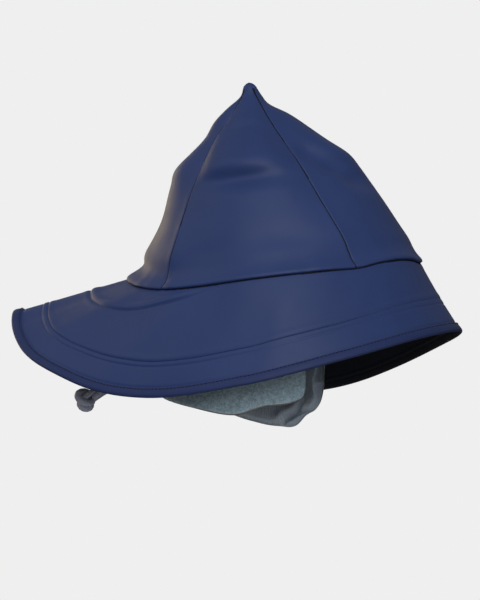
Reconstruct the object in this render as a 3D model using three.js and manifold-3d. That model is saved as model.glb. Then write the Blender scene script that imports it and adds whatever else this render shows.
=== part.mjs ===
// A child's sou'wester: a pointed rain hat with four crown panels, a brim that is short in front and
// long behind, a fleece band over the ears and neck, and a knotted drawcord at the nape.
// Millimetres, +Z up, +X to the front, +Y to the wearer's left. The origin is the middle of the
// crown seam, where the hat sits on the head. Angles are in degrees, turned from the front.
import * as THREE from 'three';
import { mergeVertices } from 'three/addons/utils/BufferGeometryUtils.js';
import Module from 'manifold-3d';

// Crown
const SEAM_LENGTH = 191;        // crown seam, front to back
const SEAM_WIDTH = 151;         // crown seam, side to side
const CROWN_HEIGHT = 133;       // crown seam to point
const POINT_BACK = 5;           // the point lies this far behind the middle
const POINT_RADIUS = 0.8;       // radius at which the four panels end
const LIP_OVERHANG = 4.5;       // how far the crown's lower edge stands out over the brim
const LIP_HEIGHT = 13;          // height over which that lip flares
const BACK_LIFT = 10;           // rise of the crown seam at the middle of the back
const SIDE_DIP = 4;             // fall of the crown seam at the sides
const DENT_DEPTH = 3;           // deepest soft dent in a panel
const CLOTH = 1.3;              // wall of the coated cloth

// Brim
const FRONT_REACH = 26;         // rim beyond the seam, in front
const BACK_REACH = 91.5;        // rim beyond the seam, behind
const SIDE_REACH = 29.5;        // rim beyond the seam, at the sides
const RIM_DROP = 78;            // lowest point of the rim below the seam
const BRIM_BELLY = 1.2;         // outward bow of the brim between seam and rim
const FLANGE_IN = 1.5;          // seam allowance inside the crown seam
const FLANGE_OUT = 3.4;         // seam allowance under the lip
const FLANGE_TURN = 1.2;        // what the inner ring shows below the lip where it is narrowest
const CRESCENT_WIDTH = 31;      // inner ring at the middle of the back
const OUTER_BAND = 26;          // double seam to rim
const HEM_WIDTH = 7;            // rounded hem along the slant
const HEM_THICKNESS = 2.8;

// Fleece band
const FLEECE = 4;               // fleece, two layers with their pile
const BAND_TOP = 4;             // height of the band's upper edge above the brim's inner edge
const BAND_LENGTH = 84;         // nape to middle, at the lower edge
const BAND_HALF_WIDTH = 58;     // middle to ear, at the lower edge
const BAND_DROP = 92;           // lower edge below the seam at the ears
const BAND_FRONT_TURN = 72;     // where the band ends towards the face, at the seam

// Drawcord
const CORD_DIAMETER = 4;
const KNOT_CORE = 5.2;          // radius of the knot's middle
const KNOT_TURN = 4.7;          // radius of the turns round it

const GAP = 0.35;               // clearance between neighbouring pieces
const HAT_TILT = 6;             // front-up tilt as worn
const BRIM_TOP = -CLOTH - 2 * GAP; // the brim's flange lies under the lip's wall

// How far the crown reaches out from its axis at each height, as shares of the crown seam: along
// the seams between the panels, and along the middle of the front, side and back panels. Then the
// directions in which the front and back seams of the side panels lie at that height.
const CROWN_PROFILE = [
  { height: 0.00, seam: 1.000, front: 1.010, side: 1.010, back: 1.005, frontSeam: 47.5, backSeam: 131 },
  { height: 0.10, seam: 0.945, front: 0.985, side: 0.965, back: 0.945, frontSeam: 47, backSeam: 131.5 },
  { height: 0.20, seam: 0.870, front: 0.920, side: 0.890, back: 0.862, frontSeam: 47.5, backSeam: 132 },
  { height: 0.35, seam: 0.735, front: 0.820, side: 0.780, back: 0.757, frontSeam: 49, backSeam: 133 },
  { height: 0.50, seam: 0.585, front: 0.712, side: 0.675, back: 0.670, frontSeam: 50, backSeam: 135.5 },
  { height: 0.58, seam: 0.500, front: 0.645, side: 0.610, back: 0.625, frontSeam: 51, backSeam: 136.5 },
  { height: 0.66, seam: 0.412, front: 0.520, side: 0.500, back: 0.502, frontSeam: 53, backSeam: 137 },
  { height: 0.74, seam: 0.315, front: 0.385, side: 0.370, back: 0.372, frontSeam: 54.5, backSeam: 139 },
  { height: 0.82, seam: 0.205, front: 0.248, side: 0.255, back: 0.282, frontSeam: 54.5, backSeam: 139 },
  { height: 0.88, seam: 0.130, front: 0.120, side: 0.155, back: 0.180, frontSeam: 53, backSeam: 139 },
  { height: 0.93, seam: 0.076, front: 0.076, side: 0.080, back: 0.078, frontSeam: 51, backSeam: 138 },
  { height: 0.98, seam: 0.042, front: 0.044, side: 0.044, back: 0.044, frontSeam: 50, backSeam: 136 },
  { height: 1.00, seam: 0.030, front: 0.030, side: 0.030, back: 0.030, frontSeam: 50, backSeam: 136 },
];

// The crown panels, by the direction each one faces.
const CROWN_PANELS = [
  { name: 'crown_panel_front', facing: 0, column: 'front' },
  { name: 'crown_panel_left', facing: 90, column: 'side' },
  { name: 'crown_panel_back', facing: 180, column: 'back' },
  { name: 'crown_panel_right', facing: 270, column: 'side' },
];

// Soft dents in the panels: where they lie across the panel (-1 to 1) and up it, how far they
// spread each way, and their depth as a share of DENT_DEPTH (below zero swells).
const DENTS = [
  { facing: 270, across: -0.10, up: 0.58, wide: 0.70, high: 0.055, depth: 1.00 },
  { facing: 270, across: 0.00, up: 0.75, wide: 0.60, high: 0.040, depth: 0.55 },
  { facing: 270, across: 0.35, up: 0.38, wide: 0.45, high: 0.120, depth: 0.50 },
  { facing: 0, across: -0.45, up: 0.52, wide: 0.35, high: 0.100, depth: 0.70 },
  { facing: 0, across: 0.35, up: 0.66, wide: 0.50, high: 0.070, depth: 0.60 },
  { facing: 90, across: 0.10, up: 0.57, wide: 0.70, high: 0.060, depth: 0.90 },
  { facing: 180, across: -0.20, up: 0.70, wide: 0.60, high: 0.060, depth: 0.70 },
  { facing: 180, across: 0.20, up: 0.30, wide: 0.60, high: 0.110, depth: 0.50 },
];

// Height of the crown seam: shares of BACK_LIFT and of SIDE_DIP.
const SEAM_WAVE = [
  { turn: 0, lift: 0.00, dip: 0.00 },
  { turn: 45, lift: 0.00, dip: 0.50 },
  { turn: 90, lift: 0.00, dip: 0.85 },
  { turn: 135, lift: 0.00, dip: 1.00 },
  { turn: 155, lift: 0.40, dip: 0.60 },
  { turn: 180, lift: 1.00, dip: 0.00 },
];

// The rim's drop as a share of RIM_DROP, from the front to the middle of the back.
const RIM_PROFILE = [
  { turn: 0, drop: 0.670 },
  { turn: 30, drop: 0.720 },
  { turn: 60, drop: 0.840 },
  { turn: 90, drop: 0.962 },
  { turn: 110, drop: 1.000 },
  { turn: 125, drop: 0.905 },
  { turn: 140, drop: 0.705 },
  { turn: 155, drop: 0.480 },
  { turn: 168, drop: 0.230 },
  { turn: 180, drop: 0.065 },
];

// Width of the brim's inner ring beyond the lip, as a share of CRESCENT_WIDTH.
const CRESCENT = [
  { turn: 0, width: 0.00 },
  { turn: 98, width: 0.00 },
  { turn: 120, width: 0.28 },
  { turn: 145, width: 0.72 },
  { turn: 165, width: 0.95 },
  { turn: 180, width: 1.00 },
];

// The fleece band's lower edge from the right front corner round the nape to the left one: shares
// of BAND_LENGTH to the front, BAND_HALF_WIDTH to the left and BAND_DROP downwards.
const BAND_EDGE = [
  { along: -1.00, front: 0.29, left: -0.84, drop: 0.780 },
  { along: -0.95, front: 0.25, left: -0.87, drop: 0.895 },
  { along: -0.88, front: 0.15, left: -0.92, drop: 0.950 },
  { along: -0.75, front: -0.06, left: -0.98, drop: 0.975 },
  { along: -0.60, front: -0.30, left: -1.00, drop: 0.995 },
  { along: -0.40, front: -0.62, left: -0.88, drop: 0.930 },
  { along: -0.20, front: -0.90, left: -0.52, drop: 0.850 },
  { along: 0.00, front: -1.00, left: 0.00, drop: 0.800 },
  { along: 0.20, front: -0.90, left: 0.52, drop: 0.850 },
  { along: 0.40, front: -0.68, left: 0.88, drop: 0.960 },
  { along: 0.60, front: -0.46, left: 0.97, drop: 1.050 },
  { along: 0.76, front: -0.25, left: 0.95, drop: 1.100 },
  { along: 0.88, front: -0.03, left: 0.90, drop: 1.055 },
  { along: 0.95, front: 0.11, left: 0.87, drop: 0.955 },
  { along: 1.00, front: 0.16, left: 0.84, drop: 0.830 },
];

// Routes of the drawcord's two ends, from the nape to the knot, chosen by hand.
const CORD_LEFT = [
  [-88.3, 6, -37.6], [-96, 5.7, -40.2], [-103, 5.2, -43.2], [-110, 4.6, -46.6],
  [-117, 3.8, -50.4], [-124, 2.9, -54.6], [-130, 2, -58.6], [-135, 1.2, -62.6], [-139.2, 0.6, -66.6],
];
const CORD_RIGHT = [
  [-87.2, -6, -43.5], [-95, -5.6, -45.6], [-101, -5, -47.9], [-107, -4.3, -50.6],
  [-113, -3.5, -53.7], [-119, -2.7, -57.2], [-125, -1.9, -61.2], [-130.5, -1.2, -65.1], [-136.9, -0.6, -69.4],
];
const KNOT_CENTRE = [-142.4, 0, -71.4];

// Mesh fineness
const PANEL_ACROSS = 12;
const PANEL_ROWS = 18;
const RING_STEPS = 72;
const BAND_STEPS = 44;
const BAND_ROWS = 7;
const CORD_SIDES = 8;

const radians = THREE.MathUtils.degToRad;
const wasm = await Module();
wasm.setup();

// A smooth function through one column of a table; a level ending keeps both sides of the hat
// running into each other without a kink.
function smooth(rows, key, column, ending = THREE.ZeroCurvatureEnding) {
  const curve = new THREE.CubicInterpolant(rows.map(row => row[key]), rows.map(row => row[column]), 1);
  curve.settings = { endingStart: ending, endingEnd: ending };
  return x => curve.evaluate(x)[0];
}

const seamShare = smooth(CROWN_PROFILE, 'height', 'seam');
const seamLift = smooth(SEAM_WAVE, 'turn', 'lift', THREE.ZeroSlopeEnding);
const seamDip = smooth(SEAM_WAVE, 'turn', 'dip', THREE.ZeroSlopeEnding);
const frontSeam = smooth(CROWN_PROFILE, 'height', 'frontSeam');
const backSeam = smooth(CROWN_PROFILE, 'height', 'backSeam');
const rimDrop = smooth(RIM_PROFILE, 'turn', 'drop', THREE.ZeroSlopeEnding);
const crescentShare = smooth(CRESCENT, 'turn', 'width', THREE.ZeroSlopeEnding);

// The same angle on the right side as on the left, 0 in front and 180 behind.
function mirrored(turn) {
  return Math.abs(((turn + 180) % 360 + 360) % 360 - 180);
}

function seamHeight(turn) {
  const side = mirrored(turn);
  return BACK_LIFT * seamLift(side) - SIDE_DIP * seamDip(side);
}

// A point beside the crown seam, moved outwards in plan.
function seamPoint(turn, outwards, upwards) {
  const x = Math.cos(radians(turn));
  const y = Math.sin(radians(turn));
  return new THREE.Vector3(
    (SEAM_LENGTH / 2 + outwards) * x,
    (SEAM_WIDTH / 2 + outwards) * y,
    seamHeight(turn) + upwards,
  );
}

function rimPoint(turn) {
  const x = Math.cos(radians(turn));
  const reach = x > 0 ? FRONT_REACH : BACK_REACH;
  return new THREE.Vector3(
    (SEAM_LENGTH / 2 + reach) * x,
    (SEAM_WIDTH / 2 + SIDE_REACH) * Math.sin(radians(turn)),
    -RIM_DROP * rimDrop(mirrored(turn)),
  );
}

// How far the dents push a panel's surface in.
function dentDepth(facing, across, up) {
  let depth = 0;
  for (const dent of DENTS) {
    if (dent.facing !== facing) continue;
    const sideways = (across - dent.across) / dent.wide;
    const upwards = (up - dent.up) / dent.high;
    depth += DENT_DEPTH * dent.depth * Math.exp(-sideways * sideways - upwards * upwards);
  }
  return depth * (1 - across * across);
}

// The directions of the two seams that bound a panel, at a height.
function panelSides(facing, up) {
  const [front, back] = [frontSeam(up), backSeam(up)];
  if (facing === 0) return [-front, front];
  if (facing === 90) return [front, back];
  if (facing === 180) return [back, 360 - back];
  return [360 - back, 360 - front];
}

// The outer surface of a crown panel: across runs from seam to seam (-1 to 1), up from the lip to
// the point (0 to 1).
function crownPoint(facing, panelShare, across, up) {
  const share = seamShare(up) + (panelShare(up) - seamShare(up)) * (1 - across * across);
  const flare = LIP_OVERHANG * Math.max(0, 1 - up * CROWN_HEIGHT / LIP_HEIGHT) ** 2;
  const inwards = dentDepth(facing, across, up);
  const radius = Math.max(SEAM_LENGTH / 2 * share + flare - inwards, POINT_RADIUS);
  const sideRadius = Math.max(SEAM_WIDTH / 2 * share + flare - inwards, POINT_RADIUS);
  const edge = THREE.MathUtils.radToDeg(GAP / 2 / sideRadius) * across;
  const turn = THREE.MathUtils.lerp(...panelSides(facing, up), (across + 1) / 2) - edge;
  return new THREE.Vector3(
    radius * Math.cos(radians(turn)) - POINT_BACK * up,
    sideRadius * Math.sin(radians(turn)),
    CROWN_HEIGHT * up + seamHeight(turn) * (1 - up) ** 2,
  );
}

// The brim's outer surface at a distance from where it leaves the lip; below zero is the flange
// under the lip.
function brimPoint(turn, distance) {
  if (distance <= 0) return seamPoint(turn, FLANGE_OUT + distance, BRIM_TOP);
  const start = seamPoint(turn, FLANGE_OUT, BRIM_TOP);
  const share = distance / brimWidth(turn);
  const point = start.clone().lerp(rimPoint(turn), share);
  const belly = BRIM_BELLY * 4 * share * (1 - share);
  const lean = new THREE.Vector3(Math.cos(radians(turn)), Math.sin(radians(turn)), 1).normalize();
  return point.addScaledVector(lean, belly);
}

function brimWidth(turn) {
  return seamPoint(turn, FLANGE_OUT, BRIM_TOP).distanceTo(rimPoint(turn));
}

function crescentEdge(turn) {
  return FLANGE_TURN + CRESCENT_WIDTH * Math.max(0, crescentShare(mirrored(turn)));
}

// Turns lists of corner points and faces into a closed geometry whose faces point out.
function closedGeometry(points, faces) {
  let volume = 0;
  for (const [a, b, c] of faces) {
    volume += points[a].dot(points[b].clone().cross(points[c])) / 6;
  }
  const index = faces.flatMap(([a, b, c]) => (volume > 0 ? [a, b, c] : [a, c, b]));
  const geometry = new THREE.BufferGeometry();
  geometry.setAttribute('position', new THREE.Float32BufferAttribute(points.flatMap(p => p.toArray()), 3));
  geometry.setIndex(index);
  geometry.computeVertexNormals();
  return geometry;
}

// A cloth wall under the surface point(u, v), u from 0 to 1 and v from 0 to 1. A ring runs all the
// way round in u. The wall lies on the side opposite to du x dv when side is 1.
function wallGeometry(point, { steps, rows, wall, side, ring }) {
  const columns = ring ? steps : steps + 1;
  const nudge = 1e-3;
  const points = [];
  const layers = [];
  for (const depth of [0, wall]) {
    const layer = [];
    for (let i = 0; i < columns; i += 1) {
      for (let j = 0; j <= rows; j += 1) {
        const u = i / steps;
        const v = j / rows;
        const along = point(u + nudge, v).sub(point(u - nudge, v));
        const down = point(u, Math.min(1, v + nudge)).sub(point(u, Math.max(0, v - nudge)));
        const normal = along.cross(down).normalize().multiplyScalar(side);
        layer.push(points.length);
        points.push(point(u, v).addScaledVector(normal, -depth));
      }
    }
    layers.push(layer);
  }
  const at = (layer, i, j) => layers[layer][(i % columns) * (rows + 1) + j];
  const faces = [];
  const quad = (a, b, c, d) => faces.push([a, b, c], [a, c, d]);
  for (let i = 0; i < steps; i += 1) {
    for (let j = 0; j < rows; j += 1) {
      quad(at(0, i, j), at(0, i + 1, j), at(0, i + 1, j + 1), at(0, i, j + 1));
      quad(at(1, i, j), at(1, i, j + 1), at(1, i + 1, j + 1), at(1, i + 1, j));
    }
    quad(at(0, i, 0), at(1, i, 0), at(1, i + 1, 0), at(0, i + 1, 0));
    quad(at(0, i, rows), at(0, i + 1, rows), at(1, i + 1, rows), at(1, i, rows));
  }
  if (!ring) {
    for (let j = 0; j < rows; j += 1) {
      quad(at(0, 0, j), at(0, 0, j + 1), at(1, 0, j + 1), at(1, 0, j));
      quad(at(0, steps, j), at(1, steps, j), at(1, steps, j + 1), at(0, steps, j + 1));
    }
  }
  return closedGeometry(points, faces);
}

// Sweeps a closed section round the hat: section(turn, k) is corner k of the section.
function ringGeometry(section, corners) {
  const points = [];
  const faces = [];
  for (let i = 0; i < RING_STEPS; i += 1) {
    for (let k = 0; k < corners; k += 1) {
      points.push(section(360 * i / RING_STEPS, k));
      const next = (i + 1) % RING_STEPS * corners;
      const [a, b] = [i * corners + k, i * corners + (k + 1) % corners];
      const [c, d] = [next + (k + 1) % corners, next + k];
      faces.push([a, b, c], [a, c, d]);
    }
  }
  return closedGeometry(points, faces);
}

const coatedCloth = () => new THREE.MeshStandardMaterial({ color: 0x2f3a5f, roughness: 0.45, metalness: 0 });
const fleece = () => new THREE.MeshStandardMaterial({ color: 0x6e8086, roughness: 0.95, metalness: 0 });
const cord = () => new THREE.MeshStandardMaterial({ color: 0x5f6270, roughness: 0.85, metalness: 0 });

function named(name, geometry, material) {
  const mesh = new THREE.Mesh(geometry, material);
  mesh.name = name;
  return mesh;
}

function crownPanel({ name, facing, column }) {
  const panelShare = smooth(CROWN_PROFILE, 'height', column);
  const surface = (u, v) => crownPoint(facing, panelShare, 2 * u - 1, v);
  const options = { steps: PANEL_ACROSS, rows: PANEL_ROWS, wall: CLOTH, side: 1, ring: false };
  return named(name, wallGeometry(surface, options), coatedCloth());
}

// One ring of the brim between two distances from the lip. The inner ring starts with the flange.
function brimRing(name, from, to, rows, flangeRows = 0) {
  const flangeShare = flangeRows / rows;
  const surface = (u, v) => {
    const turn = 360 * u;
    if (v < flangeShare) return brimPoint(turn, -(FLANGE_IN + FLANGE_OUT) * (1 - v / flangeShare));
    return brimPoint(turn, THREE.MathUtils.lerp(from(turn), to(turn), (v - flangeShare) / (1 - flangeShare)));
  };
  const options = { steps: RING_STEPS, rows, wall: CLOTH, side: -1, ring: true };
  return named(name, wallGeometry(surface, options), coatedCloth());
}

// The rounded hem: an oval bar along the rim, in line with the brim's slant.
function rimHem() {
  const corners = 8;
  const section = (turn, k) => {
    const width = brimWidth(turn);
    const outer = brimPoint(turn, width);
    const slant = outer.clone().sub(brimPoint(turn, width - HEM_WIDTH)).normalize();
    const along = brimPoint(turn + 1, width).sub(brimPoint(turn - 1, width));
    const normal = slant.clone().cross(along).normalize();
    const angle = 2 * Math.PI * (k + 0.5) / corners;
    return outer
      .addScaledVector(slant, HEM_WIDTH / 2 * (Math.cos(angle) / Math.cos(Math.PI / corners) - 1))
      .addScaledVector(normal, HEM_THICKNESS / 2 * Math.sin(angle) / Math.cos(Math.PI / corners) - CLOTH / 2);
  };
  return named('rim_hem', ringGeometry(section, corners), coatedCloth());
}

// The fleece band hangs from inside the crown seam down to its lower edge.
function earNeckBand() {
  const front = smooth(BAND_EDGE, 'along', 'front');
  const left = smooth(BAND_EDGE, 'along', 'left');
  const drop = smooth(BAND_EDGE, 'along', 'drop');
  const surface = (u, v) => {
    const along = 1 - 2 * u;
    const turn = 180 - (180 - BAND_FRONT_TURN) * along;
    const top = seamPoint(turn, -FLANGE_IN - GAP, BRIM_TOP + BAND_TOP);
    const straight = seamPoint(turn, -FLANGE_IN - GAP, BRIM_TOP - CLOTH);
    const edge = new THREE.Vector3(
      BAND_LENGTH * front(along),
      BAND_HALF_WIDTH * left(along),
      -BAND_DROP * drop(along),
    );
    const rows = BAND_ROWS;
    if (v * rows <= 1) return top.lerp(straight, v * rows);
    const fall = (v * rows - 1) / (rows - 1);
    const inwards = fall * fall * (3 - 2 * fall);
    return new THREE.Vector3(
      THREE.MathUtils.lerp(straight.x, edge.x, inwards),
      THREE.MathUtils.lerp(straight.y, edge.y, inwards),
      THREE.MathUtils.lerp(straight.z, edge.z, fall),
    );
  };
  const options = { steps: BAND_STEPS, rows: BAND_ROWS, wall: FLEECE, side: -1, ring: false };
  return named('ear_neck_band', wallGeometry(surface, options), fleece());
}

function drawcord(name, route) {
  const path = new THREE.CatmullRomCurve3(route.map(p => new THREE.Vector3(...p)));
  const round = new THREE.Shape();
  for (let k = 0; k <= CORD_SIDES; k += 1) {
    const angle = 2 * Math.PI * k / CORD_SIDES;
    const [x, y] = [CORD_DIAMETER / 2 * Math.cos(angle), CORD_DIAMETER / 2 * Math.sin(angle)];
    if (k === 0) round.moveTo(x, y);
    else if (k < CORD_SIDES) round.lineTo(x, y);
  }
  const steps = route.length - 1;
  return named(name, new THREE.ExtrudeGeometry(round, { steps, extrudePath: path }), cord());
}

function solid(geometry) {
  geometry.deleteAttribute('normal');
  geometry.deleteAttribute('uv');
  const merged = mergeVertices(geometry, 1e-4);
  return new wasm.Manifold(new wasm.Mesh({
    numProp: 3,
    vertProperties: merged.attributes.position.array,
    triVerts: Uint32Array.from(merged.index.array),
  }));
}

// The knot: two turns of the doubled cord, crossed, round a full middle.
function drawcordKnot() {
  const middle = solid(new THREE.IcosahedronGeometry(KNOT_CORE, 2));
  const turns = [
    { sink: -0.2, lean: 40, roll: 14 },
    { sink: 0.45, lean: 22, roll: -12 },
  ];
  let knot = middle;
  for (const { sink, lean, roll } of turns) {
    const turn = new THREE.TorusGeometry(KNOT_TURN - CORD_DIAMETER / 8, CORD_DIAMETER / 2 + 0.3, 8, 20);
    turn.rotateX(radians(roll));
    turn.rotateY(radians(lean));
    turn.translate(-CORD_DIAMETER * sink * Math.sin(radians(lean)), 0, -CORD_DIAMETER * sink);
    knot = knot.add(solid(turn));
  }
  const mesh = knot.getMesh();
  const geometry = new THREE.BufferGeometry();
  geometry.setAttribute('position', new THREE.BufferAttribute(mesh.vertProperties, 3));
  geometry.setIndex(new THREE.BufferAttribute(mesh.triVerts, 1));
  geometry.computeVertexNormals();
  const piece = named('drawcord_knot', geometry, cord());
  piece.position.set(...KNOT_CENTRE);
  return piece;
}

const hat = new THREE.Group();
hat.rotation.y = -radians(HAT_TILT);
for (const panel of CROWN_PANELS) hat.add(crownPanel(panel));
hat.add(brimRing('brim_inner', () => 0, crescentEdge, 5, 2));
hat.add(brimRing('brim_middle', turn => crescentEdge(turn) + GAP, turn => brimWidth(turn) - OUTER_BAND, 5));
hat.add(brimRing(
  'brim_outer',
  turn => brimWidth(turn) - OUTER_BAND + GAP,
  turn => brimWidth(turn) - HEM_WIDTH - GAP,
  2,
));
hat.add(rimHem());
hat.add(earNeckBand());
hat.add(drawcord('drawcord_left', CORD_LEFT));
hat.add(drawcord('drawcord_right', CORD_RIGHT));
hat.add(drawcordKnot());

export default hat;
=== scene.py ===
# The looks of a child's sou'wester: coated cloth crown and brim, fleece ear band, knotted drawcord.
# Lengths are in millimetres and angles in degrees until put_down() turns a piece into metres.
# A ridge is given as its height (below zero for a groove), its place and its width.
import math
import bpy
import numpy as np
from mathutils import Matrix, Vector


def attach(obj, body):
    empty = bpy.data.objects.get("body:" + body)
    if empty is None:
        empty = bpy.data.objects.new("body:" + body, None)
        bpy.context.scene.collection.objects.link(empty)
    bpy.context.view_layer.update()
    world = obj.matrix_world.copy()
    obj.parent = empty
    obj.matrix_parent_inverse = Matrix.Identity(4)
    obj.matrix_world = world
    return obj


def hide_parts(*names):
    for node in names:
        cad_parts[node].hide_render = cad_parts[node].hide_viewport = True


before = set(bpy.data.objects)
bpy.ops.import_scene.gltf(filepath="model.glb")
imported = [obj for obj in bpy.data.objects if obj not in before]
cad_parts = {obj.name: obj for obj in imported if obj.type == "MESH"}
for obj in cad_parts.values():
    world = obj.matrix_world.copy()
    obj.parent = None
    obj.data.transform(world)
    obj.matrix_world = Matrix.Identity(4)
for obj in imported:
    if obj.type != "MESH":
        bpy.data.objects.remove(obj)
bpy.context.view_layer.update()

MM = 0.001
TILT = math.radians(6)  # the hat is worn front-up

# Crown: sizes of the frame
SEAM_LENGTH = 191
SEAM_WIDTH = 151
CROWN_HEIGHT = 133
POINT_BACK = 5
POINT_RADIUS = 0.8
LIP_HEIGHT = 13
BACK_LIFT = 10
SIDE_DIP = 4
DENT_DEPTH = 3
CLOTH = 1.3
GAP = 0.35
BRIM_TOP = -CLOTH - 2 * GAP

# Crown: how it is sewn
SEAM_LAP = 0.8  # neighbouring panels run this far into each other
LAP_RADIUS = 2  # and less where the crown is narrower than this
SEAM_SHADE_WIDTH = 1.35  # width of the strip beside each seam that takes the dark lining: painted shade of the seam's groove
SEAM_SHADE_END = 0.97  # share of the height at which that painted shade ends
SEAM_CORNER = 4.2  # the seams stand out as soft corners: height and spread where the
CORNER_SPREAD = 13  # crown is widest, in proportion above
CORNER_START = (1, 25)  # heights between which a corner rises from the lip
SEAM_GROOVE = (0.95, 0, 0.6)  # the stitched line, and the shoulder beside it
SEAM_SHOULDER = (0.12, 2.4, 1.6)
PUFF = 0.3  # the shoulder varies by this share, so fast along the seam
PUFF_PACE = 0.23
SEAM_END = 0.92  # share of the height above which the seams fade out
TIP_ROUND = 3.2  # height over which the point is rounded off
TIP_FLAT = 0.998  # share of that height at which the rounding stops
TIP_THIN = 0.06  # share of the height over which the cloth thins to the point
TIP_THINNEST = 0.02  # square of the share of it that is left at the point
TIP_SHARE = 0.03  # reach of the crown at the point
LIP_ROLL = (1.0, 0, 1.1)  # the lip's edge turns in
LIP_THICKER = (0.9, 0, 4)  # and is folded double
LIP_PINCH = (0.9, 0, 3.5)  # each seam pulls the lip in
PINCH_RISE = (1, 3.5, 3)  # at this height
WAIST_RISE = (1, 7.5, 6.5)  # height of the waist that the table LIP gives
PUCKER_RISE = (1, 2, 6)
LIP_PUCKERS = ((0.20, 17, 0.6), (0.16, 29, 2.1), (0.10, 47, 4.0))  # height, waves round, phase
PUCKER_GROUPS = 5
FOLD_HEIGHT = 0.35  # long soft folds up the panels
FOLD_COUNT = 7
FOLD_SLANT = 0.05
FOLD_ENDS = (20, 0.6)  # full from this height to this share of the crown's height

# Brim: sizes of the frame
FRONT_REACH = 26
BACK_REACH = 91.5
SIDE_REACH = 29.5
RIM_DROP = 78
BRIM_BELLY = 1.2
FLANGE_IN = 1.5
FLANGE_OUT = 3.4
FLANGE_TURN = 1.2
CRESCENT_WIDTH = 31
OUTER_BAND = 26
HEM_WIDTH = 7

# Brim: how it is sewn
TUCKED = -1.4  # height of the brim's start against the lip's lower edge
FLANGE_RISE = 1.1  # the seam allowance climbs behind the lip, up to this height
FLANGE_TOP = 2.6
FLANGE_ROWS = 4
LIP_SHADOW_REACH = 0.7  # the flange and the brim's first stretch take the dark lining this far out from the crown: painted shadow of the gap under the lip
UNDER_LIP = -2.0  # the inner ring's first full row, under the lip
NARROW_RING = (8, 2)  # widths of the inner ring between which its seam draws in
NARROW_DRAW = 2.2
CRESCENT_SHOWS = (3, 11)  # and between which that seam comes to show
CRESCENT_RIDGES = ((-0.75, 0, 1.25), (0.95, -4.2, 3.4), (0.25, 3.0, 2.0))
TOPSTITCH = (-0.22, -3.4, 0.7)
TOPSTITCH_ENDS = (142, 128)  # turns between which the crescent's topstitching fades out
DOUBLE_GROOVE = (-0.45, 0, 0.7)
DOUBLE_STEP = 0.38  # height of the tape between the double seam's two lines
STEP_START = (0, 0.9)
STEP_END = (3.9, 3.0)
DOUBLE_SHOULDERS = ((0.30, -2.4, 2.2), (-0.22, 4.3, 0.65))
CRISP = (0.30, 35, 70)  # share of the double seam in front, and the turns where it grows
HEM_GROOVE = (-0.45, 0, 1.1)
RELIEF_START = 6  # all relief fades in over this distance from the lip
BRIM_WAVES = ((0.70, 9, 1.2, 0), (0.50, 14, 0.4, 2), (0.16, 25, 3.0, 4))  # height, waves, phase, slant
WAVES_IN_FRONT = (0.4, 60, 120)  # the same for the waves

# Hem
HEM_THICKNESS = 3.4
HEM_RISE = 0.3  # the hem lies this far above the brim, but in front below it
HEM_RISE_TURN = 50
HEM_PAST = 0.4  # the hem reaches this far past the rim
UNDER_HEM = 1  # the outer ring runs this far under the hem
HEM_SIDES = 28
HEM_POWERS = (0.85, 0.8)  # make the section flatter than round, across and through
HEM_TAPER = 0.15  # the section is thinner towards the brim
HEM_RIPPLES = ((0.02, 53), (0.015, 31))
HEM_SHADED_SIDE = (0.55, 0.93)  # the part of its section that takes the dark lining: painted shade of the hem's underside
STITCH_PITCH = 2.7
STITCH_LENGTH = 1.6
STITCH_RADIUS = 0.33
STITCH_SIDES = 6
STITCH_IN = 1.1  # the stitches lie this far inside the hem's upper edge
STITCH_SUNK = 0.80  # and at this share of its half thickness
STITCH_SWELL = (0.45, 0.9, 1.0, 0.9, 0.45)
STITCH_DIVE = (-0.5, -0.1, 0.0, -0.1, -0.5)
STITCH_LINE = 2881  # points of the line that the stitches follow

# Fleece band: sizes of the frame
FLEECE = 4
BAND_TOP = 4
BAND_LENGTH = 84
BAND_HALF_WIDTH = 58
BAND_DROP = 92
BAND_FRONT_TURN = 72

# Fleece band: how it is folded
BAND_ALONG = 170  # rough lengths of half the band and of its drop
BAND_FALL = 75
BAND_OVERLAP = 0.03  # the upper row lies this share of the drop above the seam
EDGE_ROUND = 3.2  # the edges are rounded over this distance
EDGE_THINNEST = 0.0025  # square of the share of the thickness left at the edge
CUT_EDGE = 0.62  # the pile ends where the rounded edge is this share of the thickness
FRONT_ROLL = (0.75, 7, 8)  # the folded edges are fat rolls
LOW_ROLL = (1, 5.5, 5)
LOW_ROLL_HEIGHT = (0.3, 0.4)  # along the lower edge, and how much more at the front corners
ROLL_CORNER = (0.84, 0.89)  # places along the band between which it grows
CREASE_DEPTH = (1.2, 0, 1.5)  # the left flap's creased corner, as shares of the thickness
PIT_DEPTH = (1.3, 0, 1.6)
CREASE_SWELL = (0.6, 0, 2.6)
THINNEST = 0.35  # least share of the thickness that a crease leaves
# Lines of the creases: places along the band and down it.
CREASE = ((0.785, 1.0), (0.80, 0.95), (0.822, 0.925), (0.851, 0.918), (0.876, 0.90))
CREASE_SIDE = ((0.765, 0.94), (0.80, 0.885), (0.85, 0.86))
PIT = ((0.864, 0.948), (0.890, 0.985))
WEAVE_ALONG = 160  # scale of the place on the cloth that the ribs follow
WEAVE_DOWN = 90
RIB_END = {"From Min": 131.0, "From Max": 124.0}  # the ribs fade out along it

# Drawcord
CORD_DIAMETER = 4
CORD_SIDES = 24
CORD_STEP = 0.35
TUBE_SIDE = (0, 1, 0.05)  # no cord runs this way, so its section starts square to it
BRAID = 0.05  # depth of the braid as a share of the radius
BRAID_STRANDS = 3
BRAID_PITCH = 2.2  # radii along the cord to a turn of the braid

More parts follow.
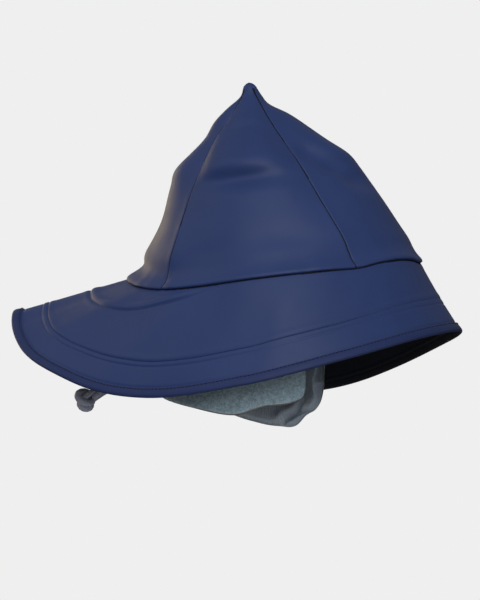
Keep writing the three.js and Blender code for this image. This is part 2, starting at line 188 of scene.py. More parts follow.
# Reach of the crown at each height: along the seams, then along the middle of the front, side and
# back panels, as shares of the crown seam. Then the directions in which the seams lie.
CROWN_PROFILE = {
    "height": (0.00, 0.10, 0.20, 0.35, 0.50, 0.58, 0.66, 0.74, 0.82, 0.88, 0.93, 0.98, 1.00),
    "seam": (1.000, 0.945, 0.870, 0.735, 0.585, 0.500, 0.412, 0.315, 0.205, 0.130, 0.076, 0.042, 0.030),
    "front": (1.010, 0.985, 0.920, 0.820, 0.712, 0.645, 0.520, 0.385, 0.248, 0.120, 0.076, 0.044, 0.030),
    "side": (1.010, 0.965, 0.890, 0.780, 0.675, 0.610, 0.500, 0.370, 0.255, 0.155, 0.080, 0.044, 0.030),
    "back": (1.005, 0.945, 0.862, 0.757, 0.670, 0.625, 0.502, 0.372, 0.282, 0.180, 0.078, 0.044, 0.030),
    "front_seam": (47.5, 47.8, 49, 50.5, 51.5, 52.5, 54.5, 56, 56, 54.5, 52.5, 51, 50),
    "back_seam": (131, 130, 129, 129.8, 132.3, 133.3, 134, 136, 136, 136, 135.5, 135, 136),
}

# The panels: name, direction it faces, column of CROWN_PROFILE.
CROWN_PANELS = (
    ("crown_panel_front", 0, "front"),
    ("crown_panel_left", 90, "side"),
    ("crown_panel_back", 180, "back"),
    ("crown_panel_right", 270, "side"),
)

# Soft dents: facing, across the panel, up it, spread across, spread up, share of DENT_DEPTH.
DENTS = (
    (270, -0.10, 0.485, 0.90, 0.045, 1.70),
    (270, 0.05, 0.585, 1.00, 0.050, -0.55),
    (270, -0.15, 0.755, 0.70, 0.030, 0.55),
    (270, 0.45, 0.17, 0.55, 0.060, 0.45),
    (270, -0.55, 0.14, 0.40, 0.050, 0.35),
    (0, -0.80, 0.585, 0.26, 0.055, 3.60),
    (0, -0.58, 0.505, 0.24, 0.052, 2.50),
    (0, -0.36, 0.425, 0.24, 0.052, 1.70),
    (0, -0.75, 0.33, 0.30, 0.060, -0.50),
    (0, 0.35, 0.66, 0.50, 0.070, 0.60),
    (90, 0.10, 0.57, 0.70, 0.060, 0.90),
    (180, -0.20, 0.70, 0.60, 0.060, 0.70),
    (180, 0.20, 0.30, 0.60, 0.110, 0.50),
)

# The crown seam's rise and fall, from the front to the middle of the back.
SEAM_WAVE = {
    "turn": (0, 45, 90, 135, 155, 180),
    "lift": (0.00, 0.00, 0.00, 0.00, 0.40, 1.00),
    "dip": (0.00, 0.50, 0.85, 1.00, 0.60, 0.00),
}

# The crown's lower edge: height of the lip, how far it flares out over the brim, and how far the
# crown draws in above it, from the front to the middle of the back.
LIP = {
    "turn": (0, 12, 22, 30, 38, 45, 60, 90, 112, 127, 135, 150, 165, 180),
    "height": (-2.4, -0.9, -0.6, -1.2, -2.6, -4.4, -4.7, -5.1, -5.5, -4.3, -2.9, 1.8, 7.2, 11.2),
    "flare": (5.2, 5.2, 5.2, 5.2, 5.4, 5.6, 5.4, 5.4, 5.6, 6.0, 6.2, 7.2, 8.4, 8.8),
    "waist": (0.0, 0.0, 0.0, 0.0, 0.0, 0.0, 0.0, 0.0, 0.0, 0.1, 0.4, 1.6, 3.2, 3.8),
}

# The rim's drop as a share of RIM_DROP.
RIM_PROFILE = {
    "turn": (0, 30, 60, 90, 110, 125, 140, 155, 168, 180),
    "drop": (0.670, 0.720, 0.840, 0.962, 1.000, 0.905, 0.705, 0.480, 0.230, 0.065),
}

# The worn rim's rise above that profile, and the brim's outward bulge between lip and rim.
RIM_WEAR = {
    "turn": (0, 30, 60, 90, 120, 140, 155, 170, 180),
    "rise": (0.9, 0.8, 0.3, 0.2, 1.4, 2.8, 2.2, 0.6, 0.8),
    "bulge": (-1.0, -0.7, 0.2, 0.6, 0.8, 1.0, 0.8, 0.2, 0.0),
}
FAR_SAG = 4.2  # the far side of the rim hangs lower, round this turn
FAR_SAG_TURN = 78
FAR_SAG_SPREAD = 24

# Width of the brim's inner ring as a share of CRESCENT_WIDTH.
CRESCENT = {
    "turn": (0, 98, 120, 145, 165, 180),
    "width": (0.00, 0.00, 0.28, 0.72, 0.95, 1.00),
}

# The fleece band's lower edge, from the right front corner (-1) round the nape to the left one (1):
# its reach to the front and to the left, and its drop.
BAND_EDGE = {
    "along": (
        -1, -0.95, -0.88, -0.75, -0.6, -0.4, -0.2, 0,
        0.2, 0.4, 0.6, 0.76, 0.84, 0.885, 0.92, 0.95, 1,
    ),
    "front": (
        0.29, 0.26, 0.16, -0.06, -0.30, -0.68, -0.95, -1.00,
        -0.90, -0.68, -0.46, -0.25, -0.09, 0.01, 0.085, 0.145, 0.195,
    ),
    "left": (
        -0.84, -0.87, -0.92, -0.98, -1.00, -0.89, -0.55, 0.00,
        0.52, 0.88, 0.97, 0.95, 0.918, 0.90, 0.883, 0.87, 0.84,
    ),
    "drop": (
        0.780, 0.920, 0.968, 0.975, 1.012, 0.918, 0.832, 0.800,
        0.850, 0.960, 1.048, 1.102, 1.112, 1.040, 1.012, 0.950, 0.815,
    ),
}

# Routes of the drawcord's two ends, from the nape to the knot.
CORD_LEFT = (
    (-88.3, 6, -37.6), (-96, 5.7, -40.2), (-103, 5.2, -43.2), (-110, 4.6, -46.6),
    (-117, 3.8, -50.4), (-124, 2.9, -54.6), (-130, 2, -58.6), (-135, 1.2, -62.6), (-139.2, 0.6, -66.6),
)
CORD_RIGHT = (
    (-87.2, -6, -43.5), (-95, -5.6, -45.6), (-101, -5, -47.9), (-107, -4.3, -50.6), (-113, -3.5, -53.7),
    (-119, -2.7, -57.2), (-125, -1.9, -61.2), (-130.5, -1.2, -65.1), (-136.9, -0.6, -69.4),
)

# The knot's turns: their radius, then pixels of the picture and millimetres nearer to the camera.
KNOT_TURNS = (
    (2.35, (
        (92.2, 399.8, -2.5), (91.4, 402.0, 0.2), (88.4, 403.2, 2.4), (84.6, 402.6, 3.4), (80.6, 400.6, 3.6),
        (78.0, 397.2, 3.0), (78.6, 393.6, 1.6), (81.6, 391.8, -0.4), (85.5, 391.8, -2.6), (89, 393.5, -4.5),
    )),
    (1.95, (
        (80.4, 400.5, -3.5), (79.6, 404.4, -0.6), (81.6, 407.6, 0.8), (85.4, 409.2, 1.2), (89.2, 408.6, 0.8),
        (91.2, 405.6, -1.0), (90, 401.5, -4),
    )),
    (1.85, (
        (98.5, 387.2, 1.0), (94.5, 390.2, 2.0), (90.5, 393.2, 2.6), (86.6, 396.2, 2.4), (83.8, 398.6, 0.8),
        (82, 400.5, -1.5),
    )),
    (1.85, (
        (108, 390.5, -2.0), (103, 393.2, -1.2), (98.5, 396.2, -0.8), (94.4, 399.0, -0.8), (91, 402, -2.5),
    )),
    (2.4, ((80.5, 396, -3.4), (84.5, 397, -5.0), (89.0, 399.0, -5.0))),
    (2.2, ((86, 394, -6.0), (90.5, 396.5, -6.0), (94.5, 396.0, -6.0))),
)
KNOT_DEPTH = -28.1  # millimetres of the knot towards the camera

# Fineness of the meshes, and how much their rows crowd towards the edges
PANEL_ACROSS = 96
PANEL_ROWS = 110
RING_STEPS = 480
BAND_STEPS = 220
BAND_ROWS = 64
RING_ROWS = (34, 60, 40)
CROWDING = 1.8
PANEL_CROWDING = 0.65
RING_CROWDING = 0.5
EDGE_BLEND = 0.3  # the panels' edge rows are drawn in by this share

# Camera and light
PIXEL = 0.68  # millimetres of the hat in a pixel
ORIGIN_PIXEL = (276, 275)  # where the origin shows in the 480 by 600 picture
AZIMUTH = 13.4
ELEVATION = -2
LENS = 180
SENSOR = 36
PICTURE_WIDTH, PICTURE_HEIGHT = 480, 600
FLOOR_DROP = 0.42

WHITE = (1, 1, 1)

# Lights: metres right of, nearer than and above the hat in the picture; size, watts, colour.
LIGHTS = (
    ("front", (-0.25, 1.35, 1.25), 1.0, 10.0, WHITE),
    ("fill", (-0.15, 1.78, 0.42), 0.8, 12.0, WHITE),
    ("right", (1.25, 1.0, 0.25), 0.8, 2.6, WHITE),
    ("high_left", (-1.2, 0.2, 1.0), 1.0, 2.8, WHITE),
    ("warm", (-0.88, -1.05, 0.15), 0.9, 4.8, (1.0, 0.78, 0.45)),
)
BACKDROP = 0.863  # linear grey of the backdrop
FLOOR_RADIUS = 3.0  # metres
LIGHT_AIM = (0, 0, 0.02)
# Light of the room by its height, and how solid the floor is by its distance in metres.
SKY_LIGHT = {"From Min": -0.1, "From Max": 0.8, "To Min": 0.03, "To Max": 0.26}
FLOOR_FADE = {"From Min": 0.25, "From Max": 0.9, "To Min": 0.6, "To Max": 0.0}

# Colours, dark and light. Those with a place are stops of a noise.
CLOTH_SHADES = ((0.0215, 0.0405, 0.1330), (0.0250, 0.0465, 0.1500))
HEM_SHADES = ((0.0150, 0.0275, 0.0980), (0.0180, 0.0325, 0.1130))
# the lining's own dark navy, made nearly black as painted shade of the hat's inside; it also paints shade in
# the seams, under the lip and on the hem's underside
LINING_AND_SHADE_COLOURS = ((0.3, (0.0022, 0.0032, 0.0085)), (0.7, (0.0046, 0.0066, 0.0160)))
PILE_SHADES = ((0.40, (0.240, 0.345, 0.415)), (0.60, (0.540, 0.715, 0.830)))
KNIT_SHADES = ((0.35, (0.370, 0.440, 0.530)), (0.85, (0.590, 0.680, 0.800)))
EDGE_SHADES = ((0.3, (0.130, 0.115, 0.105)), (0.7, (0.260, 0.235, 0.215)))
SLEEVE_SHADES = ((0.3, (0.300, 0.320, 0.410)), (0.7, (0.480, 0.505, 0.630)))
THREAD_SHADES = ((0.3, (0.003, 0.005, 0.015)), (0.7, (0.007, 0.011, 0.030)))
CLOTH_GLOSS = (0.42, 0.52)  # roughness between which the cloth and the hem vary
HEM_GLOSS = (0.48, 0.58)


def smooth(table, key, column, level=False):
    """A smooth function through one column of a table; level ends have no slope."""
    at = np.array(table[key], float)
    value = np.array(table[column], float)
    secant = np.diff(value) / np.diff(at)
    slope = np.empty(len(at))
    slope[1:-1] = (secant[:-1] + secant[1:]) / 2
    slope[0], slope[-1] = (0, 0) if level else (secant[0], secant[-1])

    def curve(x):
        x = np.clip(np.asarray(x, float), at[0], at[-1])
        i = np.clip(np.searchsorted(at, x, side="right") - 1, 0, len(at) - 2)
        span = at[i + 1] - at[i]
        p = (x - at[i]) / span
        return (
            value[i] * (2 * p**3 - 3 * p**2 + 1)
            + value[i + 1] * (3 * p**2 - 2 * p**3)
            + slope[i] * span * (p**3 - 2 * p**2 + p)
            + slope[i + 1] * span * (p**3 - p**2)
        )

    return curve


seam_share = smooth(CROWN_PROFILE, "height", "seam")
front_seam = smooth(CROWN_PROFILE, "height", "front_seam")
back_seam = smooth(CROWN_PROFILE, "height", "back_seam")
lip_height = smooth(LIP, "turn", "height", level=True)
lip_flare = smooth(LIP, "turn", "flare", level=True)
lip_waist = smooth(LIP, "turn", "waist", level=True)
rim_rise = smooth(RIM_WEAR, "turn", "rise", level=True)
brim_bulge = smooth(RIM_WEAR, "turn", "bulge", level=True)
seam_lift = smooth(SEAM_WAVE, "turn", "lift", level=True)
seam_dip = smooth(SEAM_WAVE, "turn", "dip", level=True)
rim_drop = smooth(RIM_PROFILE, "turn", "drop", level=True)
crescent_share = smooth(CRESCENT, "turn", "width", level=True)
band_front = smooth(BAND_EDGE, "along", "front")
band_left = smooth(BAND_EDGE, "along", "left")
band_drop = smooth(BAND_EDGE, "along", "drop")


def bell(x, width):
    return np.exp(-((x / width) ** 2))


def ridge(x, height, at, width):
    return height * bell(x - at, width)


def ease(x):
    x = np.clip(x, 0, 1)
    return x * x * (3 - 2 * x)


def rising(x, start, end):
    """A soft step from 0 at the start to 1 at the end."""
    return ease((x - start) / (end - start))


def crowded(steps):
    """Places from 0 to 1 that crowd towards 1."""
    return 1 - (1 - np.linspace(0, 1, steps + 1)) ** CROWDING


def crowded_ends(steps, crowding):
    """Places from 0 to 1 that crowd towards both ends."""
    even = np.linspace(0, 1, steps + 1)
    return (1 - crowding) * even + crowding * ease(even)


def both_sides(half):
    """The same places on both sides of 0."""
    return np.concatenate([-half[::-1], half[1:]])


def mirrored(turn):
    """The same angle on both sides of the hat: 0 in front and 180 behind."""
    return np.abs((turn + 180) % 360 - 180)


def cos(turn):
    return np.cos(np.radians(turn))


def sin(turn):
    return np.sin(np.radians(turn))


def stack(x, y, z):
    return np.stack(np.broadcast_arrays(x, y, z), axis=-1).astype(float)


def unit(vectors):
    return vectors / np.maximum(np.linalg.norm(vectors, axis=-1, keepdims=True), 1e-12)


def run_length(line):
    """Length along a line of points, from its start to each of them."""
    return np.concatenate([[0], np.cumsum(np.linalg.norm(np.diff(line, axis=0), axis=1))])


def ring_point(turn, outwards, height):
    """A point outside the crown seam's oval."""
    return stack((SEAM_LENGTH / 2 + outwards) * cos(turn), (SEAM_WIDTH / 2 + outwards) * sin(turn), height)


def lip_point(turn, outwards, upwards):
    """A point beside the crown's lower edge as it is worn."""
    return ring_point(turn, outwards, lip_height(mirrored(turn)) + upwards)


def rim_point(turn):
    side = mirrored(turn)
    reach = np.where(cos(turn) > 0, FRONT_REACH, BACK_REACH)
    sag = FAR_SAG * bell((turn + 180) % 360 - 180 - FAR_SAG_TURN, FAR_SAG_SPREAD)
    return stack(
        (SEAM_LENGTH / 2 + reach) * cos(turn),
        (SEAM_WIDTH / 2 + SIDE_REACH) * sin(turn),
        rim_rise(side) - sag - RIM_DROP * rim_drop(side),
    )


def dent_depth(facing, across, up):
    depth = np.zeros(np.broadcast(across, up).shape)
    for face, at_across, at_up, wide, high, share in DENTS:
        if face == facing:
            depth += DENT_DEPTH * share * bell(across - at_across, wide) * bell(up - at_up, high)
    return depth * (1 - across**2)


def lip_wave(turn):
    """Small puckers of the lip where the cloth is eased into the crown seam."""
    angle = np.radians(turn)
    wave = sum(height * np.sin(angle * count + phase) for height, count, phase in LIP_PUCKERS)
    return wave * (0.5 + 0.5 * np.sin(angle * PUCKER_GROUPS + 1))


def panel_sides(facing, up):
    """The directions of the two seams that bound a panel, at a height."""
    front, behind = front_seam(up), back_seam(up)
    turns = (-front, front, behind, 360 - behind, 360 - front)
    return turns[facing // 90:facing // 90 + 2]


def crown_point(facing, column, across, up):
    """The crown's outer surface: across a panel from seam to seam (-1 to 1), up from lip to point."""
    panel = smooth(CROWN_PROFILE, "height", column)(up)
    share = seam_share(up) + (panel - seam_share(up)) * (1 - across**2)
    rise = up * CROWN_HEIGHT
    start, end = panel_sides(facing, up)
    turn = start + (end - start) * (across + 1) / 2
    side = mirrored(turn)
    to_seam = np.radians((end - start) / 2 * (1 - np.abs(across)))
    to_seam = to_seam * SEAM_WIDTH / 2 * np.maximum(share, TIP_SHARE)
    below_tip = rising(up, 1, SEAM_END)
    corner = SEAM_CORNER * share * np.exp(-to_seam / (CORNER_SPREAD * share)) * rising(rise, *CORNER_START)
    puff = 1 - PUFF + PUFF * np.sin(rise * PUFF_PACE)
    groove = ridge(to_seam, *SEAM_GROOVE) - puff * ridge(to_seam, *SEAM_SHOULDER)
    flare = lip_flare(side) * np.maximum(0, 1 - rise / LIP_HEIGHT) ** 2
    pinch = ridge(to_seam, *LIP_PINCH) * ridge(rise, *PINCH_RISE)
    roll = ridge(rise, *LIP_ROLL)
    waist = lip_waist(side) * ridge(rise, *WAIST_RISE)
    pucker = lip_wave(turn) * ridge(rise, *PUCKER_RISE)
    fold = FOLD_HEIGHT * np.sin(np.radians(turn) * FOLD_COUNT + rise * FOLD_SLANT + facing)
    fold = fold * rising(rise, 0, FOLD_ENDS[0]) * rising(up, 1, FOLD_ENDS[1]) * (1 - across**4)
    inwards = dent_depth(facing, across, up) + below_tip * groove + pinch + roll + waist - pucker - fold
    out = flare + below_tip * corner - inwards
    cap = np.sqrt(1 - np.clip((rise - CROWN_HEIGHT + TIP_ROUND) / TIP_ROUND, 0, TIP_FLAT) ** 2)
    radius = np.maximum(SEAM_LENGTH / 2 * share + out, POINT_RADIUS) * cap
    side_radius = np.maximum(SEAM_WIDTH / 2 * share + out, POINT_RADIUS) * cap
    turn = turn + np.degrees(SEAM_LAP / 2 / np.maximum(side_radius, LAP_RADIUS)) * across
    return stack(
        radius * cos(turn) - POINT_BACK * up,
        side_radius * sin(turn),
        rise + lip_height(mirrored(turn)) * (1 - up) ** 2,
    )


def brim_width(turn):
    return np.linalg.norm(rim_point(turn) - lip_point(turn, FLANGE_OUT, TUCKED), axis=-1)


def crescent_edge(turn):
    return FLANGE_TURN + CRESCENT_WIDTH * np.maximum(0, crescent_share(mirrored(turn)))


def double_seam(turn):
    return brim_width(turn) - OUTER_BAND


def brim_relief(turn, distance):
    """Height of the seams, their rounded shoulders and the soft folds above the plain brim."""
    side = mirrored(turn)
    angle = np.radians(turn)
    width = brim_width(turn)
    across = np.clip(distance / width, 0, 1)
    from_crescent = distance - crescent_edge(turn)
    relief = sum(ridge(from_crescent, *shape) for shape in CRESCENT_RIDGES)
    relief = relief + ridge(from_crescent, *TOPSTITCH) * rising(side, *TOPSTITCH_ENDS)
    relief = relief * rising(crescent_edge(turn), *CRESCENT_SHOWS)
    from_seam = distance - double_seam(turn)
    soft, start, end = CRISP
    step = DOUBLE_STEP * rising(from_seam, *STEP_START) * rising(from_seam, *STEP_END)
    crisp = soft + (1 - soft) * rising(side, start, end)
    relief += crisp * (ridge(from_seam, *DOUBLE_GROOVE) + step)
    relief += sum(ridge(from_seam, *shape) for shape in DOUBLE_SHOULDERS)
    relief += ridge(width - HEM_WIDTH - distance, *HEM_GROOVE)
    waves = sum(
        height * np.sin(count * angle + phase + slant * across) for height, count, phase, slant in BRIM_WAVES
    )
    least, start, end = WAVES_IN_FRONT
    waves = waves * (least + (1 - least) * rising(side, start, end))
    relief += np.sin(np.pi * across) * (brim_bulge(side) - BRIM_BELLY + waves)
    return relief * ease(distance / RELIEF_START)


def brim_point(turn, distance):
    """The brim's outer surface at a distance from the lip; below zero is the flange under the lip."""
    turn, distance = np.broadcast_arrays(np.asarray(turn, float), np.asarray(distance, float))
    start = lip_point(turn, FLANGE_OUT, TUCKED)
    share = (distance / brim_width(turn))[..., None]
    belly = BRIM_BELLY * 4 * share[..., 0] * (1 - share[..., 0]) + brim_relief(turn, distance)
    lean = stack(cos(turn), sin(turn), 1) / math.sqrt(2)
    slope = start + (rim_point(turn) - start) * share + lean * belly[..., None]
    tucked = np.minimum(distance, 0)
    climb = np.minimum(-FLANGE_RISE * tucked, FLANGE_TOP)
    flange = lip_point(turn, FLANGE_OUT + tucked, TUCKED + climb)
    return np.where((distance <= 0)[..., None], flange, slope)


def normals_of(points, ring):
    """Unit normals du x dv of a grid of points."""
    if ring:
        du = np.roll(points, -1, 0) - np.roll(points, 1, 0)
    else:
        du = np.gradient(points, axis=0)
    dv = np.gradient(points, axis=1)
    return unit(np.cross(du, dv))


def grid_faces(first, columns, rows, ring):
    """Quads between the corners first + i * rows + j."""
    i = np.arange(columns if ring else columns - 1)[:, None]
    j = np.arange(rows - 1)[None, :]
    a = first + i * rows + j
    b = first + (i + 1) % columns * rows + j
    return np.stack([a, b, b + 1, a + 1], axis=-1).reshape(-1, 4)


def wall(outer, thickness, side, ring, rounding=0.0):
    """Corners and faces of a closed wall under a grid of points. Faces of the outer side come
    first, then those of the inner side, then the edges. A rounding draws the edge rows in."""
    columns, rows = outer.shape[:2]
    depth = np.broadcast_to(thickness, (columns, rows))[..., None]
    normal = normals_of(outer, ring) * side
    inner = outer - normal * depth
    middle = outer - normal * (depth / 2)
    if rounding:
        edge = np.zeros((columns, rows))
        edge[:, 0] = edge[:, -1] = 1
        if not ring:
            edge[0, :] = edge[-1, :] = 1
        blend = (edge * rounding)[..., None]
        outer = outer * (1 - blend) + middle * blend
        inner = inner * (1 - blend) + middle * blend
    count = columns * rows
    points = np.concatenate([outer.reshape(-1, 3), inner.reshape(-1, 3)])
    front = grid_faces(0, columns, rows, ring)
    back = grid_faces(count, columns, rows, ring)[:, ::-1]
    if side < 0:
        front, back = front[:, ::-1], back[:, ::-1]
    rims = []
    around = np.arange(columns if ring else columns - 1)
    after = (around + 1) % columns
    for row, flip in ((0, side > 0), (rows - 1, side < 0)):
        a, b = around * rows + row, after * rows + row
        quad = np.stack([a, a + count, b + count, b], axis=-1)
        rims.append(quad if flip else quad[:, ::-1])
    if not ring:
        down = np.arange(rows - 1)
        for column, flip in ((0, side < 0), (columns - 1, side > 0)):
            a, b = column * rows + down, column * rows + down + 1
            quad = np.stack([a, a + count, b + count, b], axis=-1)
            rims.append(quad if flip else quad[:, ::-1])
    faces = np.concatenate([front, back] + rims)
    return points, faces, len(front), len(back)


def put_down(name, points, faces, materials, slots=None, node=None, weave=None):
    """Makes a mesh piece of millimetre corners, tilts it as the hat is worn and lets it ride.
    The slots are the faces' materials, and weave is a place on the cloth for each corner."""
    mesh = bpy.data.meshes.new(name)
    faces = faces.tolist() if isinstance(faces, np.ndarray) else faces
    mesh.from_pydata((np.asarray(points) * MM).tolist(), [], faces)
    mesh.transform(Matrix.Rotation(-TILT, 4, "Y"))
    for material in materials:
        mesh.materials.append(material)
    if slots is not None:
        mesh.polygons.foreach_set("material_index", np.asarray(slots, np.int32))
    if weave is not None:
        mesh.attributes.new("weave", "FLOAT_VECTOR", "POINT").data.foreach_set(
            "vector", np.asarray(weave, np.float32).ravel()
        )
    mesh.polygons.foreach_set("use_smooth", [True] * len(mesh.polygons))
    mesh.update()
    piece = bpy.data.objects.new(name, mesh)
    bpy.context.scene.collection.objects.link(piece)
    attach(piece, "root")
    if node:
        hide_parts(node)
    return piece


def tilted(point):
    """A millimetre point of the level hat, in metres in the row frame."""
    return Matrix.Rotation(-TILT, 3, "Y") @ (Vector(point) * MM)


def new_material(name):
    """A material with its node tree, its shader and the place of a point on the piece."""
    material = bpy.data.materials.new(name)
    material.use_nodes = True
    tree = material.node_tree
    tree.nodes.clear()
    output = tree.nodes.new("ShaderNodeOutputMaterial")
    shader = tree.nodes.new("ShaderNodeBsdfPrincipled")
    tree.links.new(shader.outputs[0], output.inputs[0])
    place = tree.nodes.new("ShaderNodeTexCoord").outputs["Object"]
    return material, tree, shader, place


def set_inputs(tree, made, inputs):
    """Gives inputs of a node their values or links."""
    for key, value in inputs.items():
        if isinstance(value, bpy.types.NodeSocket):
            tree.links.new(value, made.inputs[key])
        else:
            made.inputs[key].default_value = value


def node(tree, kind, inputs=(), **settings):
    """A node with its settings and with values or links for its inputs."""
    made = tree.nodes.new(kind)
    for key, value in settings.items():
        setattr(made, key, value)
    set_inputs(tree, made, dict(inputs))
    return made


def noise(tree, coordinates, scale, detail=3.0, roughness=0.55):
    inputs = {"Vector": coordinates, "Scale": scale, "Detail": detail, "Roughness": roughness}
    return node(tree, "ShaderNodeTexNoise", inputs).outputs["Fac"]


def ramp(tree, factor, stops):
    made = node(tree, "ShaderNodeValToRGB", {"Fac": factor})
    elements = made.color_ramp.elements
    while len(elements) < len(stops):
        elements.new(0.5)
    for element, (at, colour) in zip(elements, stops):
        element.position = at
        element.color = (*colour, 1)
    return made.outputs["Color"]


def grey(value):
    return (value, value, value)


def bump(tree, height, strength, distance, normal=None):
    inputs = {"Height": height, "Strength": strength, "Distance": distance}
    if normal is not None:
        inputs["Normal"] = normal
    return node(tree, "ShaderNodeBump", inputs).outputs["Normal"]


def coated_cloth(name, shades, gloss):
    """A satin skin on knit: soft uneven gloss, faint grain and handling marks."""
    material, tree, shader, place = new_material(name)
    dark, light = shades
    low, high = gloss
    patches = noise(tree, place, 55.0, 4.0, 0.6)
    rumple = bump(tree, noise(tree, place, 45.0, 2.0), 0.20, 0.0010)
    set_inputs(tree, shader, {
        "Base Color": ramp(tree, noise(tree, place, 14.0), ((0.30, dark), (0.72, light))),
        "Roughness": ramp(tree, patches, ((0.30, grey(low)), (0.70, grey(high)))),
        "Specular IOR Level": 0.20,
        "Sheen Weight": 0.03,
        "Sheen Roughness": 0.5,
        "Sheen Tint": (0.75, 0.70, 0.72, 1),
        "Normal": bump(tree, noise(tree, place, 1600.0, 2.0), 0.10, 0.0002, rumple),
    })
    return material


def knit_lining_and_painted_shade():
    """The cloth's knitted back under the brim and in the crown, darkened to nearly black as painted shade of
    the hat's inside. The same material paints the shade in the seam grooves, under the lip and on the hem's
    underside.
    """
    material, tree, shader, place = new_material("knit_lining_and_painted_shade")
    inputs = {"Vector": place, "Scale": 420.0, "Distortion": 1.5}
    rows = node(tree, "ShaderNodeTexWave", inputs, bands_direction="Z").outputs["Fac"]
    set_inputs(tree, shader, {
        "Base Color": ramp(tree, noise(tree, place, 300.0), LINING_AND_SHADE_COLOURS),
        "Roughness": 0.75,
        "Specular IOR Level": 0.25,
        "Normal": bump(tree, rows, 0.25, 0.0003),
    })
    return material


def fleece_pile():
    """Brushed fleece: matt, speckled grey with a green-blue cast and a soft pile."""
    material, tree, shader, place = new_material("fleece_pile")
    fine = noise(tree, place, 1100.0, 4.0, 0.7)
    tufts = noise(tree, place, 420.0, 3.0, 0.7)
    speckle = node(tree, "ShaderNodeMix", {"A": fine, "B": tufts, "Factor": 0.45}).outputs[0]
    pile = bump(tree, tufts, 0.7, 0.0012)
    set_inputs(tree, shader, {
        "Base Color": ramp(tree, speckle, PILE_SHADES),
        "Roughness": 0.95,
        "Specular IOR Level": 0.15,
        "Sheen Weight": 0.5,
        "Sheen Roughness": 0.6,
        "Sheen Tint": (0.62, 0.74, 0.78, 1),
        "Normal": bump(tree, fine, 0.6, 0.0005, pile),
    })
    return material


def fleece_knit():
    """The ribbed inner face of the band. The ribs end before the left flap's rolled front edge."""
    material, tree, shader, place = new_material("fleece_knit")
    weave = node(tree, "ShaderNodeAttribute", attribute_name="weave").outputs["Vector"]
    inputs = {"Vector": weave, "Scale": 0.17, "Distortion": 0.8, "Detail": 2.0}
    ribs = node(tree, "ShaderNodeTexWave", inputs).outputs["Fac"]
    along = node(tree, "ShaderNodeSeparateXYZ", {"Vector": weave}).outputs["X"]
    flat = node(tree, "ShaderNodeMapRange", {"Value": along, **RIB_END}).outputs[0]
    ribs = node(tree, "ShaderNodeMath", {0: ribs, 1: flat}, operation="MULTIPLY").outputs[0]
    fine = noise(tree, place, 800.0, 4.0, 0.7)
    both = node(tree, "ShaderNodeMath", {0: ribs, 1: 0.35}, operation="MULTIPLY").outputs[0]
    both = node(tree, "ShaderNodeMath", {0: both, 1: fine}, operation="ADD").outputs[0]
    ribbed = bump(tree, ribs, 0.5, 0.0008)
    set_inputs(tree, shader, {
        "Base Color": ramp(tree, both, KNIT_SHADES),
        "Roughness": 0.92,
        "Specular IOR Level": 0.15,
        "Sheen Weight": 0.35,
        "Sheen Roughness": 0.6,
        "Sheen Tint": (0.62, 0.70, 0.76, 1),
        "Normal": bump(tree, fine, 0.5, 0.0005, ribbed),
    })
    return material


def fleece_edge():
    """The fleece's cut edge, where its warmer backing shows."""
    material, tree, shader, place = new_material("fleece_edge")
    fine = noise(tree, place, 1200.0, 4.0, 0.7)
    set_inputs(tree, shader, {
        "Base Color": ramp(tree, fine, EDGE_SHADES),
        "Roughness": 0.95,
        "Specular IOR Level": 0.15,
        "Normal": bump(tree, fine, 0.6, 0.0005),
    })
    return material


def cord_sleeve():
    """The drawcord's braided sleeve."""
    material, tree, shader, place = new_material("cord_sleeve")
    fine = noise(tree, place, 1500.0, 3.0, 0.6)
    set_inputs(tree, shader, {
        "Base Color": ramp(tree, fine, SLEEVE_SHADES),
        "Roughness": 0.72,
        "Sheen Weight": 0.25,
        "Sheen Tint": (0.70, 0.68, 0.74, 1),
        "Normal": bump(tree, fine, 0.4, 0.0003),
    })
    return material


def thread():
    material, tree, shader, place = new_material("hem_thread")
    shade = ramp(tree, noise(tree, place, 2500.0), THREAD_SHADES)
    set_inputs(tree, shader, {"Base Color": shade, "Roughness": 0.6})
    return material


def make_camera():
    """The photograph's view: a long lens, square to the hat's right side but for a small turn."""
    back = Vector((sin(AZIMUTH) * cos(ELEVATION), -cos(AZIMUTH) * cos(ELEVATION), sin(ELEVATION)))
    right = Vector((cos(AZIMUTH), sin(AZIMUTH), 0))
    up = back.cross(right)
    shift_x = (PICTURE_WIDTH / 2 - ORIGIN_PIXEL[0]) * PIXEL * MM
    shift_y = (ORIGIN_PIXEL[1] - PICTURE_HEIGHT / 2) * PIXEL * MM
    target = right * shift_x + up * shift_y
    data = bpy.data.cameras.new("camera")
    data.lens = LENS
    data.sensor_width = SENSOR
    distance = PICTURE_HEIGHT * PIXEL * MM * LENS / SENSOR
    camera = bpy.data.objects.new("camera", data)
    camera.location = target + back * distance
    camera.rotation_euler = (-back).to_track_quat("-Z", "Y").to_euler()
    data.clip_end = 100
    bpy.context.scene.collection.objects.link(camera)
    bpy.context.scene.camera = camera

    def picture_point(x, y, depth):
        """Millimetres in the row frame of what shows at a pixel, at a depth towards the camera."""
        size = PIXEL * (1 - depth * MM / distance)
        across, above = (x - PICTURE_WIDTH / 2) * size, (PICTURE_HEIGHT / 2 - y) * size
        return target / MM + right * across + up * above + back * depth

    return back, right, up, picture_point


